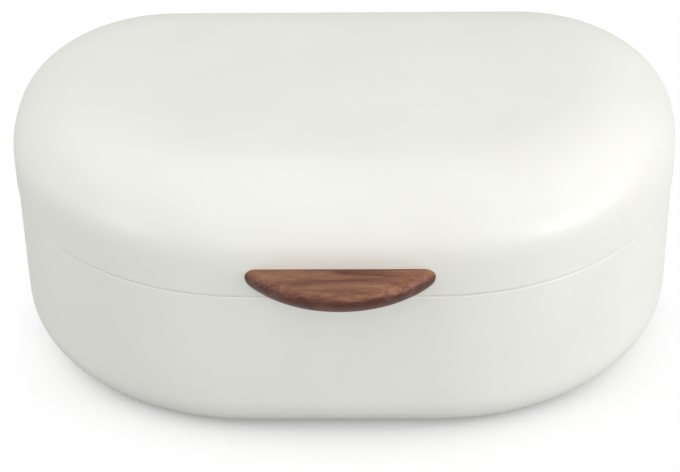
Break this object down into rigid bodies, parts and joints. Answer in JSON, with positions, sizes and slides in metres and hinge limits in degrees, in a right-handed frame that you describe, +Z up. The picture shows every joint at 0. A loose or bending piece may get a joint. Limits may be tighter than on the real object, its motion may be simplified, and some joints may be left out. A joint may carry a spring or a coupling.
{
  "type": "bread box",
  "caption": "Low rounded steel bread box with a domed lid hinged along the back and a half-moon walnut grip on the lid's front.",
  "frame": {"origin": "on the surface that the feet stand on, under the middle of the whole box, grip and hinges included", "axes": "+X along the box's length, +Y towards the hinges at the back, +Z up; the grip points to -Y"},
  "size_m": [0.4, 0.2856, 0.1709],
  "materials": {
    "enamel": "matte warm off-white powder coat on steel sheet",
    "walnut": "oiled walnut, satin",
    "steel": "plain satin steel",
    "rubber": "matte dark grey rubber"
  },
  "bodies": {
    "tub": {"tub": "enamel", "foot_front_left": "rubber", "foot_front_right": "rubber", "foot_back_left": "rubber", "foot_back_right": "rubber", "hinge_left_tub_leaf": "steel", "hinge_right_tub_leaf": "steel", "hinge_left_pin": "steel", "hinge_right_pin": "steel", "tub_rivet_left_a": "steel", "tub_rivet_left_b": "steel", "tub_rivet_right_a": "steel", "tub_rivet_right_b": "steel"},
    "lid": {"lid": "enamel", "grip": "walnut", "grip_screw_left": "steel", "grip_screw_right": "steel", "grip_washer_left": "steel", "grip_washer_right": "steel", "hinge_left_lid_leaf": "steel", "hinge_right_lid_leaf": "steel", "lid_rivet_left_a": "steel", "lid_rivet_left_b": "steel", "lid_rivet_right_a": "steel", "lid_rivet_right_b": "steel"}
  },
  "joints": [
    {"name": "lid_hinge", "type": "hinge", "parent": "tub", "child": "lid", "pos_m": [0, 0.13722, 0.101], "axis": [-1, 0, 0], "range_deg": [0, 105]}
  ]
}
